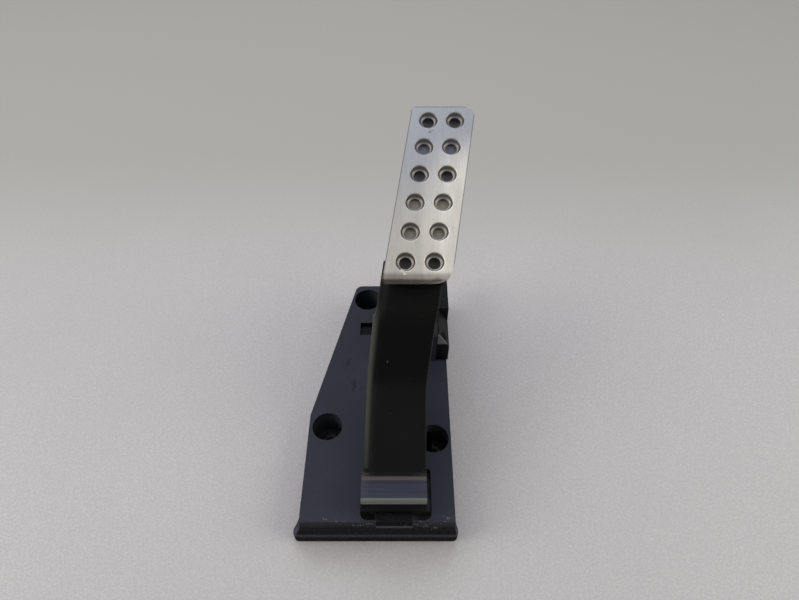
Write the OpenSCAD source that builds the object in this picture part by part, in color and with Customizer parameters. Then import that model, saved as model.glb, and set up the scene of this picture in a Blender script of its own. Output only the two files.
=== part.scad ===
// Floor-hinged accelerator pedal module with a drilled metal foot pad.
// x runs to the right, y away from the driver, z up from the mounting face.
// The origin is the centre of the left mounting hole at the mounting face.

/* [Base plate] */
// Height of the plate's top above the mounting face
plate_z = 30; // [28:0.5:34]
// Wall thickness of the moulded base
base_wall = 2.6; // [2.2:0.1:3]
// Thickness of the plate's top skin
plate_skin = 3; // [2.4:0.1:4]
// Front fold of the plate
front_y = -70; // [-74:0.5:-69.5]
// Rear edge of the plate
rear_y = 135.5; // [134:0.5:140]
// Left edge of the plate beside the left mounting well
left_x = -14; // [-18:0.5:-13.8]
// Right edge of the plate
right_x = 90.5; // [90.3:0.1:93]
// Where the left edge turns into the long slant, behind the origin
slant_y = 9.4; // [4:0.2:14]
// Left end of the rear edge, before its corner is rounded
rear_left_x = 16.2; // [10:0.1:16.4]
// Radius of the rear corners
rear_corner_r = 6; // [3:0.5:8]
// How far the front skirt flares forward at its lip
skirt_front = 3; // [1:0.2:5]
// How far the skirt flares to the left
skirt_left = 6.5; // [2:0.5:8]
// How far the skirt flares to the right
skirt_right = 3.2; // [1:0.2:5]
// Height of the skirt's lip
lip_h = 8; // [5:0.5:12]
// Thickness of the stiffening ribs under the plate
rib_t = 1.8; // [1.2:0.1:2.4]
// Spacing of the stiffening ribs under the plate
rib_pitch = 23; // [20:0.5:26]
// Depth of the stiffening ribs below the plate's skin
rib_h = 9; // [5:0.5:12]

/* [Mounting wells] */
// Radius of a mounting well
well_r = 11; // [9.5:0.1:11.2]
// Wall around a mounting well
well_wall = 1.4; // [1:0.1:1.8]
// Thickness of a well's floor
well_floor = 5; // [3:0.5:7]
// Right well, across from the left one
right_well_x = 77.8; // [76:0.1:78]
// Right well, ahead of the left one
right_well_y = -9.5; // [-14:0.5:-4]
// Rear well, across from the left one
rear_well_x = 25.8; // [25.6:0.1:27]
// Rear well, behind the left one
rear_well_y = 120.3; // [117:0.1:121]
// Length of a steel sleeve
sleeve_len = 6; // [5:0.5:8]
// Outer radius of a steel sleeve
sleeve_r = 6.5; // [5.5:0.1:7.5]
// Bore radius of a steel sleeve, for an M6 screw
sleeve_bore_r = 3.5; // [3.2:0.1:4]

/* [Hinge] */
// Hinge axis behind the origin
hinge_y = -52; // [-53:0.5:-51]
// Hinge axis above the plate's top
hinge_rise = 10; // [9.5:0.5:11]
// Radius of the hinge pin
pin_r = 4; // [3:0.1:4.5]
// Wall of a hinge bush
bush_wall = 1.6; // [1:0.1:2]
// Radial running clearance between the pin and a bush
pin_clear = 0.05; // [0.02:0.01:0.1]
// Radius of the lug's barrel in the base
lug_r = 9; // [7:0.5:9.5]
// Width of the lug between the arm's ears
lug_w = 24; // [18:0.5:25]
// Side clearance between the lug and an ear
ear_gap = 0.8; // [0.4:0.1:1.2]
// Width of the hinge pocket in the plate
pocket_w = 48; // [47:0.2:52]
// Rear edge of the hinge pocket
pocket_rear_y = -33; // [-34:0.5:-28]
// Wall left between the hinge pocket and the front fold
pocket_front_wall = 1.4; // [1.2:0.1:2]
// Depth of the hinge pocket
pocket_depth = 5; // [4.6:0.1:6]
// Depth of the slot at the front of the hinge pocket
slot_depth = 13; // [9:0.5:16]
// Thickness of the tongue that runs forward from the lug
tongue_t = 2.5; // [2:0.1:4]
// How far the tongue reaches past the front fold
tongue_reach = 3.2; // [1:0.2:5]

/* [Pedal arm] */
// Centre of the arm across, at the hinge
arm_x = 49.5; // [48:0.1:51]
// Width of the nose over the hinge
nose_w = 42.7; // [40:0.1:44]
// Height of the nose's flat top above the hinge axis
nose_top = 14.5; // [13:0.5:16]
// Front face of the nose, ahead of the hinge axis
nose_front = 15; // [13.5:0.5:15.5]
// Radius of the nose's front edge
nose_edge_r = 4.5; // [3:0.5:6]
// Width of the arm
arm_w = 42; // [40:0.1:44]
// Radius of the arm's left long edge
arm_left_r = 8.5; // [6:0.5:9.5]
// Radius of the arm's right long edge
arm_right_r = 1.6; // [1:0.1:3]
// Side wall of the arm
arm_wall = 3; // [2.4:0.1:4]
// Top skin of the arm
arm_skin = 3.2; // [2.4:0.1:4]
// Thickness of the ribs inside the arm
arm_rib_t = 2; // [1.4:0.1:3]
// Depth of the arm's channel in the steep stretch
arm_depth = 20; // [16:0.5:22]
// Travel of the arm from rest to the floor stop
travel_deg = 15; // [10:0.5:15]

/* [Foot pad] */
// Width of the foot pad
pad_w = 45; // [42:0.5:48]
// Length of the foot pad above its bend
pad_len = 130.2; // [128:0.1:133]
// Thickness of the pad's sheet
pad_t = 1.8; // [1.2:0.1:2.2]
// Slope of the pad at rest
pad_tilt = 20; // [18:0.5:22]
// Sideways lean of the pad over its length, as a slope
pad_lean = 0.153; // [0.1:0.005:0.2]
// Length of the lip bent down at the pad's lower end
lip_len = 11.4; // [9:0.2:13]
// Outer radius of the bend between the pad and its lip
bend_r = 4; // [3:0.5:4.4]
// Radius of a dish around a hole
dish_r = 6.7; // [5.5:0.1:7.5]
// Radius of a hole through the pad
hole_r = 4; // [3:0.1:4.5]
// Depth of a dish
dish_d = 3; // [1.2:0.1:3.4]
// Rows of holes up the pad
hole_rows = 6; // [4:1:6]
// Spacing of the rows of holes
row_pitch = 21.44; // [18:0.1:21.6]
// Spacing of the two columns of holes
column_pitch = 18.8; // [16:0.2:21]
// Lowest row of holes above the pad's bend
first_row = 11.2; // [11.2:0.2:12]
// Thickness of the plastic carrier under the pad
carrier_t = 6; // [5:0.5:8]
// Thickness of the arm's head under the carrier
head_t = 12; // [8:0.5:14]
// Radius of the weld studs under the pad
stud_r = 2.5; // [2:0.1:3]

/* [Sensor housing] */
// Left face of the sensor housing
house_x = 41; // [40:0.2:42]
// Front face of the sensor housing
house_y = 57.4; // [57:0.2:59]
// Rear face of the sensor housing
house_rear_y = 132; // [130:0.2:133.5]
// Height of the sensor housing above the plate
house_h = 34; // [32:0.2:36]
// Wall of the sensor housing
house_wall = 3; // [2.4:0.1:3.4]
// Parting face between the housing and its side cover
parting_x = 81.5; // [81:0.1:82.5]
// Thickness of the side cover, out to its face
cover_t = 10; // [9.5:0.1:11]
// Wall of the side cover
cover_wall = 2.2; // [1.8:0.1:2.6]
// Height of the chamfered shoulder's lower edge above the plate
shoulder_h = 18.6; // [17:0.2:20]
// Width of the slot that the lever passes through
slot_w = 13; // [12:0.2:16]

/* [Lever] */
// Rotor axis behind the origin
rotor_y = 95; // [94:0.5:96]
// Rotor axis above the plate's top
rotor_rise = 18.5; // [18:0.5:19.5]
// Centre of the lever across
lever_x = 60; // [59:0.5:60.5]
// Thickness of the lever
lever_t = 7; // [5:0.5:8]
// Lever head at rest, behind the origin
head_y = 48; // [47:0.5:49]
// Lever head at rest, above the plate's top
head_rise = 54; // [53:0.5:55]
// Radius of the sliding shoe on the lever's head
shoe_r = 5; // [4:0.5:6]
// Lever turn for each degree that the arm turns
lever_ratio = 1.75; // [1.6:0.05:1.8]
// Running gap between the shoe and the arm's cam strip
cam_gap = 0.3; // [0.2:0.05:0.5]
// Radius of the rotor's hub
hub_r = 7.5; // [6.5:0.5:8]
// Radius of the rotor pin
rotor_pin_r = 3; // [2.5:0.1:3.5]
// Wire radius of the return springs
wire_r = 0.9; // [0.6:0.1:1.1]
// Turns of a return spring
spring_turns = 4; // [3:1:4]

/* [Hidden] */
$fn = 64;

plastic = [0.13, 0.14, 0.17];
arm_black = [0.09, 0.09, 0.10];
steel = [0.62, 0.62, 0.64];
satin = [0.72, 0.71, 0.69];

// Clearance of a piece that is pressed or set into its seat
seat_clear = 0.02;
// Overlap of cutting shapes past the face that they open
cut = 1;
hinge_z = plate_z + hinge_rise;
rotor_z = plate_z + rotor_rise;
head_z = plate_z + head_rise;
house_top = plate_z + house_h;
wells = [
    [0, 0],
    [right_well_x, right_well_y],
    [rear_well_x, rear_well_y]
];
outline_corners = [
    [left_x, front_y],
    [right_x, front_y],
    [right_x, rear_y],
    [rear_left_x, rear_y],
    [left_x + 0.6, slant_y]
];
outline_radii = [0, 0, rear_corner_r, rear_corner_r, 0];
bush_r = pin_r + pin_clear + bush_wall;
ear_in = lug_w / 2 + ear_gap;
ear_w = nose_w / 2 - ear_in;

function unit(v) = v / norm(v);
function reversed(list) = [for (i = [len(list) - 1:-1:0]) list[i]];
function next_of(list, i) = list[(i + 1) % len(list)];
function last_of(list, i) = list[(i + len(list) - 1) % len(list)];

// Points of the arc that rounds corner b between a and c
function corner_arc(a, b, c, r, n) = let (
    u = unit(a - b),
    v = unit(c - b),
    half = acos(u * v) / 2,
    centre = b + unit(u + v) * r / sin(half),
    p = b + u * r / tan(half) - centre,
    q = b + v * r / tan(half) - centre,
    start = atan2(p.y, p.x),
    turn = (atan2(q.y, q.x) - start + 540) % 360 - 180
) [for (i = [0:n]) centre + r * [cos(start + turn * i / n), sin(start + turn * i / n)]];

// Closed outline with its own radius at each corner
function rounded(points, radii, n = 6) = [
    for (i = [0:len(points) - 1])
        each radii[i] > 0
            ? corner_arc(last_of(points, i), points[i], next_of(points, i), radii[i], n)
            : [points[i]]
];

// Open path with an arc at each inner corner
function bent_path(points, radii, n = 5) = [
    points[0],
    for (i = [1:len(points) - 2])
        each corner_arc(points[i - 1], points[i], points[i + 1], radii[i], n),
    points[len(points) - 1]
];

// Convex outline moved inwards by d
function inset(points, d) = [
    for (i = [0:len(points) - 1])
        let (
            u = unit(points[i] - last_of(points, i)),
            v = unit(next_of(points, i) - points[i]),
            across = [-u.y - v.y, u.x + v.x]
        ) points[i] + across * d / (1 + u * v)
];

function turned(p, a) = [p.x * cos(a) - p.y * sin(a), p.x * sin(a) + p.y * cos(a)];

// Outline in y and z drawn out along x
module along_x(x0, w) {
    translate([x0, 0, 0]) rotate([90, 0, 90]) linear_extrude(w) children();
}

// Outline in x and z drawn out along y
module along_y(y0, w) {
    translate([0, y0 + w, 0]) rotate([90, 0, 0]) linear_extrude(w) children();
}

// Round bar or bore along x
module bar_x(x0, w, y, z, r) {
    translate([x0, y, z]) rotate([0, 90, 0]) cylinder(h = w, r = r);
}

// Base plate

skirt_steps = 8;
skirt_drop = plate_z - lip_h;
// The wall falls almost straight and turns out into a narrow rim
function flare(t) = 1 - cos(90 * t);
function skirt_z(t) = plate_z - skirt_drop * sin(90 * t);

module skirt() {
    steps = [for (i = [0:skirt_steps]) i / skirt_steps];
    back = front_y + base_wall + 2;
    intersection() {
        along_x(left_x - skirt_left - cut, right_x - left_x + skirt_left + skirt_right + 2 * cut)
            polygon(concat(
                [for (t = steps) [front_y - skirt_front * flare(t), skirt_z(t)]],
                [[front_y - skirt_front, 0], [back + 10, 0], [back + 10, plate_z]]
            ));
        along_y(front_y - skirt_front - cut, skirt_front + 20)
            polygon(concat(
                [for (t = steps) [left_x - skirt_left * flare(t), skirt_z(t)]],
                [[left_x - skirt_left, 0], [right_x + skirt_right, 0]],
                [for (i = [skirt_steps:-1:0])
                    [right_x + skirt_right * flare(i / skirt_steps), skirt_z(i / skirt_steps)]]
            ));
        linear_extrude(plate_z) polygon(rounded(
            [
                [left_x - skirt_left, front_y - skirt_front],
                [right_x + skirt_right, front_y - skirt_front],
                [right_x + skirt_right, front_y + 3],
                [right_x, front_y + 12],
                [left_x, front_y + 14],
                [left_x - skirt_left, front_y + 3]
            ],
            [3.5, 3.5, 2, 0, 0, 2]
        ));
    }
}

module under_ribs() {
    inner = inset(outline_corners, base_wall / 2);
    intersection() {
        translate([0, 0, plate_z - plate_skin - rib_h]) linear_extrude(rib_h + plate_skin / 2) polygon(inner);
        union() {
            for (x = [left_x + rib_pitch : rib_pitch : right_x - rib_pitch / 2])
                translate([x - rib_t / 2, front_y, 0]) cube([rib_t, rear_y - front_y, plate_z]);
            for (y = [front_y + rib_pitch : rib_pitch : rear_y - rib_pitch / 2])
                translate([left_x, y - rib_t / 2, 0]) cube([right_x - left_x, rib_t, plate_z]);
        }
    }
}

// The pocket lies a little to the right of the arm's centre
pocket_shift = 1.2;
pocket_x = arm_x - pocket_w / 2 + pocket_shift;
pocket_front_y = front_y + pocket_front_wall;
pocket_wall = 2;
slot_rear_y = hinge_y - lug_r;

module pocket_cut(depth, rear_y, rear_r) {
    translate([pocket_x, 0, plate_z - depth]) linear_extrude(depth + cut)
        polygon(rounded(
            [[0, pocket_front_y], [pocket_w, pocket_front_y], [pocket_w, rear_y], [0, rear_y]],
            [4.5, 4.5, rear_r, rear_r]
        ));
}

module pocket_walls(depth, rear_y) {
    translate([pocket_x - pocket_wall, front_y, plate_z - depth - pocket_wall])
        cube([pocket_w + 2 * pocket_wall, rear_y - front_y + pocket_wall, depth + pocket_wall]);
}

recess_x = 20.7;
recess_y = 83.1;
recess_w = 13;
recess_len = 12.3;
recess_depth = 3.6;
recess_wall = 1.6;

module blank_recess() {
    translate([recess_x, recess_y, plate_z - recess_depth]) cube([recess_w, recess_len, recess_depth + cut]);
}

module blank_recess_walls() {
    translate([recess_x - recess_wall, recess_y - recess_wall, plate_z - recess_depth - recess_wall])
        cube([recess_w + 2 * recess_wall, recess_len + 2 * recess_wall, recess_depth + recess_wall]);
}

module base_plate() {
    color(plastic) difference() {
        union() {
            difference() {
                union() {
                    difference() {
                        union() {
                            linear_extrude(plate_z) polygon(rounded(outline_corners, outline_radii));
                            skirt();
                        }
                        translate([0, 0, -cut]) linear_extrude(plate_z - plate_skin + cut)
                            polygon(inset(rounded(outline_corners, outline_radii), base_wall));
                    }
                    under_ribs();
                    intersection() {
                        linear_extrude(plate_z) polygon(rounded(outline_corners, outline_radii));
                        for (p = wells)
                            translate([p.x, p.y, 0]) cylinder(h = plate_z, r = well_r + well_wall);
                    }
                    pocket_walls(pocket_depth, pocket_rear_y);
                    pocket_walls(slot_depth, slot_rear_y);
                    blank_recess_walls();
                }
                for (p = wells)
                    translate([p.x, p.y, well_floor]) cylinder(h = plate_z, r = well_r);
                pocket_cut(pocket_depth, pocket_rear_y, 2);
                pocket_cut(slot_depth, slot_rear_y, 0);
                blank_recess();
            }
            hinge_lug();
            floor_stop_cup();
        }
        for (p = wells)
            translate([p.x, p.y, -cut]) cylinder(h = well_floor + 2 * cut, r = sleeve_r + seat_clear);
        bar_x(arm_x - lug_w, 2 * lug_w, hinge_y, hinge_z, pin_r + seat_clear);
        for (p = pegs)
            translate([p.x, p.y, plate_z - plate_skin - rib_h - cut])
                cylinder(h = plate_skin + rib_h + 2 * cut, r = peg_r + seat_clear);
        translate([stop_x, stop_y, plate_z - stop_root]) cylinder(h = 20, r = stop_r + seat_clear);
    }
}

module hinge_lug() {
    lug_x = arm_x - lug_w / 2;
    bar_x(lug_x, lug_w, hinge_y, hinge_z, lug_r);
    translate([lug_x, hinge_y - lug_r, plate_z - pocket_depth - pocket_wall / 2])
        cube([lug_w, 2 * lug_r, pocket_depth + hinge_rise + pocket_wall / 2]);
    translate([lug_x, front_y - tongue_reach, plate_z - tongue_t])
        cube([lug_w, hinge_y - front_y + tongue_reach, tongue_t]);
    translate([lug_x, pocket_front_y - pocket_front_wall / 2, plate_z - slot_depth - pocket_wall / 2])
        cube([
            lug_w,
            slot_rear_y - pocket_front_y + (pocket_front_wall + pocket_wall) / 2,
            slot_depth + (pocket_wall - tongue_t) / 2
        ]);
}

// Sensor housing, staked to the plate by its pegs

cavity_floor = plate_z + 1;
house_inner_top = house_top - house_wall;
screw_front_y = house_y + 6;
screw_rear_y = house_rear_y - 6;
screw_low_z = plate_z + 4.5;
screw_high_z = plate_z + 26;
screw_seats = [
    [screw_front_y, screw_low_z],
    [screw_rear_y, screw_low_z],
    [screw_front_y, screw_high_z],
    [screw_rear_y, screw_high_z]
];
boss_r = 4;
boss_len = 12;
screw_r = 1.5;
screw_depth = 8;
roof_slope = 9;
inner_slope = 12.5;
peg_r = 2;
pegs = [
    [house_x + 6, house_y + 6],
    [house_x + 6, house_rear_y - 9],
    [parting_x - 9, house_y + 12],
    [parting_x - 9, house_rear_y - 9]
];
rest_lug_y = rotor_y + 15;
pin_boss_r = rotor_pin_r + 3;

module house_outer() {
    along_x(house_x, parting_x - house_x)
        polygon(rounded(
            [
                [house_y, plate_z],
                [house_rear_y, plate_z],
                [house_rear_y, house_top - roof_slope],
                [house_rear_y - roof_slope, house_top],
                [house_y, house_top]
            ],
            [0, 0, 2, 2, 1.5]
        ));
}

module house_inner() {
    along_x(house_x + house_wall, parting_x - house_x)
        polygon([
            [house_y + house_wall, cavity_floor],
            [house_rear_y - house_wall, cavity_floor],
            [house_rear_y - house_wall, house_top - inner_slope],
            [house_rear_y - inner_slope, house_inner_top],
            [house_y + house_wall, house_inner_top]
        ]);
}

// Slot in the front wall and the roof for the lever
module lever_slot() {
    translate([lever_x - slot_w / 2, house_y - cut, plate_z + 7])
        cube([slot_w, rotor_y - 5 - house_y + cut, house_h]);
}

module sensor_housing() {
    color(plastic) difference() {
        union() {
            difference() {
                house_outer();
                house_inner();
                lever_slot();
            }
            rest_stop_seat();
            intersection() {
                house_outer();
                for (p = screw_seats)
                    bar_x(parting_x - boss_len, boss_len, p.x, p.y, boss_r);
            }
            bar_x(house_x, house_wall + 0.9, rotor_y, rotor_z, pin_boss_r);
            for (p = pegs)
                translate([p.x, p.y, plate_z - plate_skin - 1]) cylinder(h = plate_skin + 1.5, r = peg_r);
        }
        bar_x(house_x - cut, house_wall + 5, rotor_y, rotor_z, rotor_pin_r + seat_clear);
        for (p = screw_seats)
            bar_x(parting_x - screw_depth, screw_depth + cut, p.x, p.y, screw_r + seat_clear);
        translate([lever_x, rest_lug_y, plate_z - cut]) cylinder(h = 10, r = rest_r + seat_clear);
    }
}

// Mounting sleeves and hinge pin

module mount_sleeves() {
    color(steel) for (p = wells)
        translate([p.x, p.y, 0]) difference() {
            cylinder(h = sleeve_len, r = sleeve_r);
            translate([0, 0, -cut]) cylinder(h = sleeve_len + 2 * cut, r = sleeve_bore_r);
        }
}

ring_t = 1;
ring_wall = 2;
pin_end = nose_w / 2 - 1.6;
ring_x = pin_end - 0.7;

module hinge_pin() {
    color(steel) difference() {
        bar_x(arm_x - pin_end, 2 * pin_end, hinge_y, hinge_z, pin_r);
        for (s = [-1, 1])
            translate([arm_x + s * ring_x, hinge_y, hinge_z]) rotate([0, 90, 0])
                rotate_extrude() translate([pin_r - 0.6, -ring_t / 2]) square([2, ring_t]);
    }
}

module pin_rings() {
    color(steel) for (s = [-1, 1])
        translate([arm_x + s * ring_x, hinge_y, hinge_z]) rotate([0, 90, 0])
            rotate_extrude() translate([pin_r - 0.6 + seat_clear, -ring_t / 2 + 0.02])
                square([ring_wall, ring_t - 0.04]);
}

// Floor stop under the arm

stop_x = lever_x - lever_t / 2 - 2;
stop_y = 7;
stop_r = 6;
stop_root = 2;
stop_cup_h = 4;
stop_edge = 1.6;
stop_h = 7.2;
stop_gap = 0.3;
// The boss under the arm that meets the stop, as it stands at rest
boss_at = [hinge_y, hinge_z]
    + turned([stop_y - hinge_y, plate_z + stop_h + stop_gap - hinge_z], travel_deg);

module floor_stop_cup() {
    translate([stop_x, stop_y, plate_z - plate_skin / 2])
        cylinder(h = stop_cup_h + plate_skin / 2, r = stop_r + 2);
}

module floor_stop() {
    color([0.06, 0.06, 0.06]) {
        translate([stop_x, stop_y, plate_z - stop_root])
            cylinder(h = stop_root + stop_h - stop_edge, r = stop_r);
        translate([stop_x, stop_y, plate_z + stop_h - stop_edge])
            cylinder(h = stop_edge, r1 = stop_r, r2 = stop_r - stop_edge);
    }
}

// Rest stop under the rotor's rear lug

rest_r = 4;
rest_pad_h = 4.5;

module rest_stop_seat() {
    translate([lever_x, rest_lug_y, plate_z]) cylinder(h = 3, r = rest_r + 1.6);
}

module rest_stop() {
    color([0.06, 0.06, 0.06])
        translate([lever_x, rest_lug_y, plate_z])
            cylinder(h = cavity_floor - plate_z + rest_pad_h, r = rest_r);
}

// Side cover with its connector

cover_face = parting_x + cover_t;
seal_t = 0.8;
cover_front_y = house_y + 1;
cover_rear_y = house_rear_y - 0.3;
shroud_w = 15;
shroud_h = 26;
shroud_len = 18;
shroud_wall = 1.6;
shroud_x = parting_x - 4;
shroud_z = plate_z + 2.5;
pin_row_x = shroud_x + shroud_w / 2;
pin_rows = [-6, 0, 6];
pin_side = [-1.8, 1.8];
pin_w = 1;
// Raised block on the rear part of the cover
block_y = 84;
block_len = 36.5;
// Where the screw heads seat inside the cover
head_seat_x = parting_x + 3.5;
head_r = 2.8;
screw_head_t = 2.4;

module cover_profile(margin) {
    polygon([
        [parting_x - cut, plate_z + margin],
        [cover_face - margin, plate_z + margin],
        [cover_face - margin, plate_z + shoulder_h - margin / 2],
        [parting_x + 1.5, house_top - margin],
        [parting_x - cut, house_top - margin]
    ]);
}

module cover_side(margin) {
    polygon(rounded(
        [
            [cover_front_y + margin, plate_z + margin],
            [cover_rear_y - margin, plate_z + margin],
            [cover_rear_y - margin, house_top - 9 - margin / 2],
            [cover_rear_y - 8.7 - margin / 2, house_top - margin],
            [cover_front_y + margin, house_top - margin]
        ],
        [1, 1, 2, 2, 2]
    ));
}

module cover_shape(margin) {
    along_y(house_y, house_rear_y - house_y) cover_profile(margin);
    translate([parting_x - cut, block_y + margin, plate_z + shoulder_h / 2])
        cube([cover_t + cut - margin, block_len - 2 * margin, house_h - shoulder_h / 2 - margin]);
}

module side_cover() {
    color(plastic) difference() {
        union() {
            difference() {
                intersection() {
                    cover_shape(0);
                    along_x(parting_x + seal_t, cover_t) cover_side(0);
                }
                intersection() {
                    cover_shape(cover_wall);
                    along_x(parting_x - cut, cover_t + cut) cover_side(cover_wall);
                }
            }
            intersection() {
                cover_shape(0);
                along_x(parting_x + seal_t, cover_t) cover_side(0);
                union() {
                    for (p = screw_seats) bar_x(parting_x, cover_t, p.x, p.y, boss_r);
                    bar_x(parting_x + 5.6, cover_t, rotor_y, rotor_z, pin_boss_r);
                }
            }
            translate([shroud_x, house_rear_y + 0.3, shroud_z])
                cube([shroud_w, shroud_len, shroud_h]);
            translate([parting_x + seal_t, house_rear_y - cover_wall - 1, shroud_z])
                cube([shroud_x + shroud_w - parting_x - seal_t, cover_wall + 2, shroud_h]);
        }
        translate([shroud_x + shroud_wall, house_rear_y + 3, shroud_z + shroud_wall])
            cube([shroud_w - 2 * shroud_wall, shroud_len, shroud_h - 2 * shroud_wall]);
        for (p = screw_seats) {
            bar_x(parting_x - cut, cover_t + 2 * cut, p.x, p.y, screw_r + 0.2);
            bar_x(head_seat_x, cover_t, p.x, p.y, head_r + 0.3);
        }
        bar_x(parting_x - cut, cover_t - 1.4, rotor_y, rotor_z, rotor_pin_r + seat_clear);
        connector_bars(seat_clear);
    }
}

module cover_seal() {
    color([0.2, 0.2, 0.2]) along_x(parting_x, seal_t) difference() {
        intersection() {
            cover_side(0.3);
            union() {
                difference() {
                    cover_side(0.3);
                    cover_side(cover_wall);
                }
                for (p = screw_seats) translate(p) circle(r = boss_r);
            }
        }
        for (p = screw_seats) translate(p) circle(r = screw_r + 0.2);
    }
}

module cover_screws() {
    color(steel) for (p = screw_seats) {
        bar_x(parting_x - screw_depth, head_seat_x - parting_x + screw_depth, p.x, p.y, screw_r);
        difference() {
            bar_x(head_seat_x, screw_head_t, p.x, p.y, head_r);
            translate([head_seat_x + screw_head_t - 1, p.x, p.y]) rotate([0, 90, 0])
                cylinder(h = 3, r = 1.3, $fn = 6);
        }
    }
}

// Sensor

board_x = parting_x + 3.2;
board_t = 1.6;
board_h = 19.4;

module sensor_board() {
    y0 = house_y + 14;
    y1 = house_rear_y - 13;
    color([0.08, 0.35, 0.16]) difference() {
        translate([board_x, y0, plate_z + 4]) cube([board_t, y1 - y0, board_h]);
        bar_x(board_x - cut, board_t + 2 * cut, rotor_y, rotor_z, rotor_pin_r + 1);
        connector_bars(0.02);
    }
}

module sensor_chips() {
    color([0.05, 0.05, 0.05]) for (s = [-1, 1])
        translate([board_x - 1.2, rotor_y + s * 7 - 2, rotor_z - 2.5]) cube([1.2, 4, 5]);
}

module connector_bars(grow) {
    w = pin_w + 2 * grow;
    for (x = pin_side, z = pin_rows)
        translate([pin_row_x + x - w / 2, house_rear_y - 16, shroud_z + shroud_h / 2 + z - w / 2])
            cube([w, 28, w]);
}

module connector_pins() {
    color([0.75, 0.65, 0.35]) connector_bars(0);
}

// Pedal arm: stations along its top, each with its place across and depth

arm_corners = [
    [hinge_y + 2, hinge_z + nose_top - 2],
    [11, plate_z + 45],
    [34, plate_z + 87.5],
    [68, plate_z + 107.5]
];
arm_radii = [0, 16, 24, 0];
arm_path = bent_path(arm_corners, arm_radii);
// The arm leans to the right as it climbs
function smooth(t) = t <= 0 ? 0 : t >= 1 ? 1 : t * t * (3 - 2 * t);
function arm_shift(p) = 1.6 * smooth((p.x + 40) / 60) + 12 * smooth((p.x - 2) / 66);
function arm_deep(p) = 14 + (arm_depth - 14) * smooth((p.x + 40) / 50) - 7 * smooth((p.x - 48) / 20);

function path_dir(i) = unit(
    arm_path[min(i + 1, len(arm_path) - 1)] - arm_path[max(i - 1, 0)]
);

// Arch of the arm's section, from the left foot over the top to the right foot
function arm_arch(in, skin, rl, rr, deep) = concat(
    [[-arm_w / 2 + in, -deep]],
    [for (a = [0:18:90]) [-arm_w / 2 + in + rl * (1 - cos(a)), -skin - rl * (1 - sin(a))]],
    [for (a = [90:-30:0]) [arm_w / 2 - in - rr * (1 - cos(a)), -skin - rr * (1 - sin(a))]],
    [[arm_w / 2 - in, -deep]]
);

function placed_ring(ring, i) = let (
    p = arm_path[i],
    d = path_dir(i)
) [for (q = ring) [arm_x + arm_shift(p) + q.x, p.x - d.y * q.y, p.y + d.x * q.y]];

// End faces: one face, or strips across a channel's wall
function end_faces(n, channel) = channel
    ? [for (j = [0:n / 2 - 2]) [j, j + 1, n - 2 - j, n - 1 - j]]
    : [[for (j = [0:n - 1]) j]];

module loft(rings, channel = false) {
    n = len(rings[0]);
    m = len(rings);
    ends = end_faces(n, channel);
    polyhedron(
        points = [for (r = rings) each r],
        faces = concat(
            ends,
            [for (i = [0:m - 2], j = [0:n - 1])
                each [
                    [i * n + j, (i + 1) * n + j, (i + 1) * n + (j + 1) % n],
                    [i * n + j, (i + 1) * n + (j + 1) % n, i * n + (j + 1) % n]
                ]],
            [for (f = ends) [for (j = reversed(f)) (m - 1) * n + j]]
        )
    );
}

// Channel of the arm: outer arch and inner arch joined at the feet
module arm_channel() {
    loft([for (i = [0:len(arm_path) - 1])
        let (deep = arm_deep(arm_path[i]))
            placed_ring(concat(
                arm_arch(0, 0, arm_left_r, arm_right_r, deep),
                reversed(arm_arch(arm_wall, arm_skin, arm_left_r - arm_wall, 0.4, deep))
            ), i)], channel = true);
}

// Space that the ribs fill: reaches half way into the walls and the skin
module arm_fill() {
    loft([for (i = [0:len(arm_path) - 1])
        placed_ring(
            arm_arch(arm_wall / 2, arm_skin / 2, arm_left_r - arm_wall / 2, 0.8, arm_deep(arm_path[i]) - 1.3),
            i
        )]);
}

// Cross ribs square to the arm and two webs along it
rib_stations = [1, 6, 9];

module arm_ribs() {
    for (i = rib_stations)
        let (p = arm_path[i], d = path_dir(i))
            translate([arm_x + 5, p.x, p.y]) rotate([atan2(d.y, d.x), 0, 0])
                cube([2 * arm_w, arm_rib_t, 60], center = true);
    for (s = [-1, 1])
        translate([lever_x + s * (lever_t / 2 + 2) - arm_rib_t / 2, hinge_y + 15, 0])
            cube([arm_rib_t, 200, 200]);
}

// Nose over the hinge with an ear on each side of the lug
nose_rear = 9;
nose_undercut = 3.5;

module nose_outer() {
    front = hinge_y - nose_front;
    top = hinge_z + nose_top;
    along_x(arm_x - nose_w / 2, nose_w) {
        polygon(rounded(
            [
                [front + nose_undercut, hinge_z + 3],
                [hinge_y + nose_rear, hinge_z + 2],
                [hinge_y + nose_rear, top - 0.5],
                [hinge_y + nose_rear - 3, top - 0.3],
                [front, top]
            ],
            [1, 2, 0, 0, nose_edge_r]
        ));
        translate([hinge_y, hinge_z]) circle(r = nose_top - 0.5);
    }
}

module nose_inner() {
    along_x(arm_x - ear_in, 2 * ear_in) {
        polygon([
            [hinge_y - nose_front + arm_wall + nose_undercut, hinge_z - 2 * nose_top],
            [hinge_y + nose_top + cut, hinge_z - 2 * nose_top],
            [hinge_y + nose_top + cut, hinge_z + nose_top - arm_skin],
            [hinge_y - nose_front + arm_wall, hinge_z + nose_top - arm_skin]
        ]);
    }
}

module pedal_arm() {
    color(arm_black) difference() {
        union() {
            arm_channel();
            intersection() {
                arm_fill();
                arm_ribs();
            }
            difference() {
                nose_outer();
                nose_inner();
            }
            cam_tail();
            translate([stop_x, boss_at.x, boss_at.y]) rotate([travel_deg, 0, 0])
                cylinder(h = 13, r = stop_r);
            pad_frame() arm_head();
        }
        bar_x(arm_x - nose_w, 2 * nose_w, hinge_y, hinge_z, bush_r + seat_clear);
        lever_room();
        pad_frame() stud_bars(stud_r + 0.15, head_n0 - 2 * head_t);
        pad_frame() nut_room();
    }
}

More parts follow.
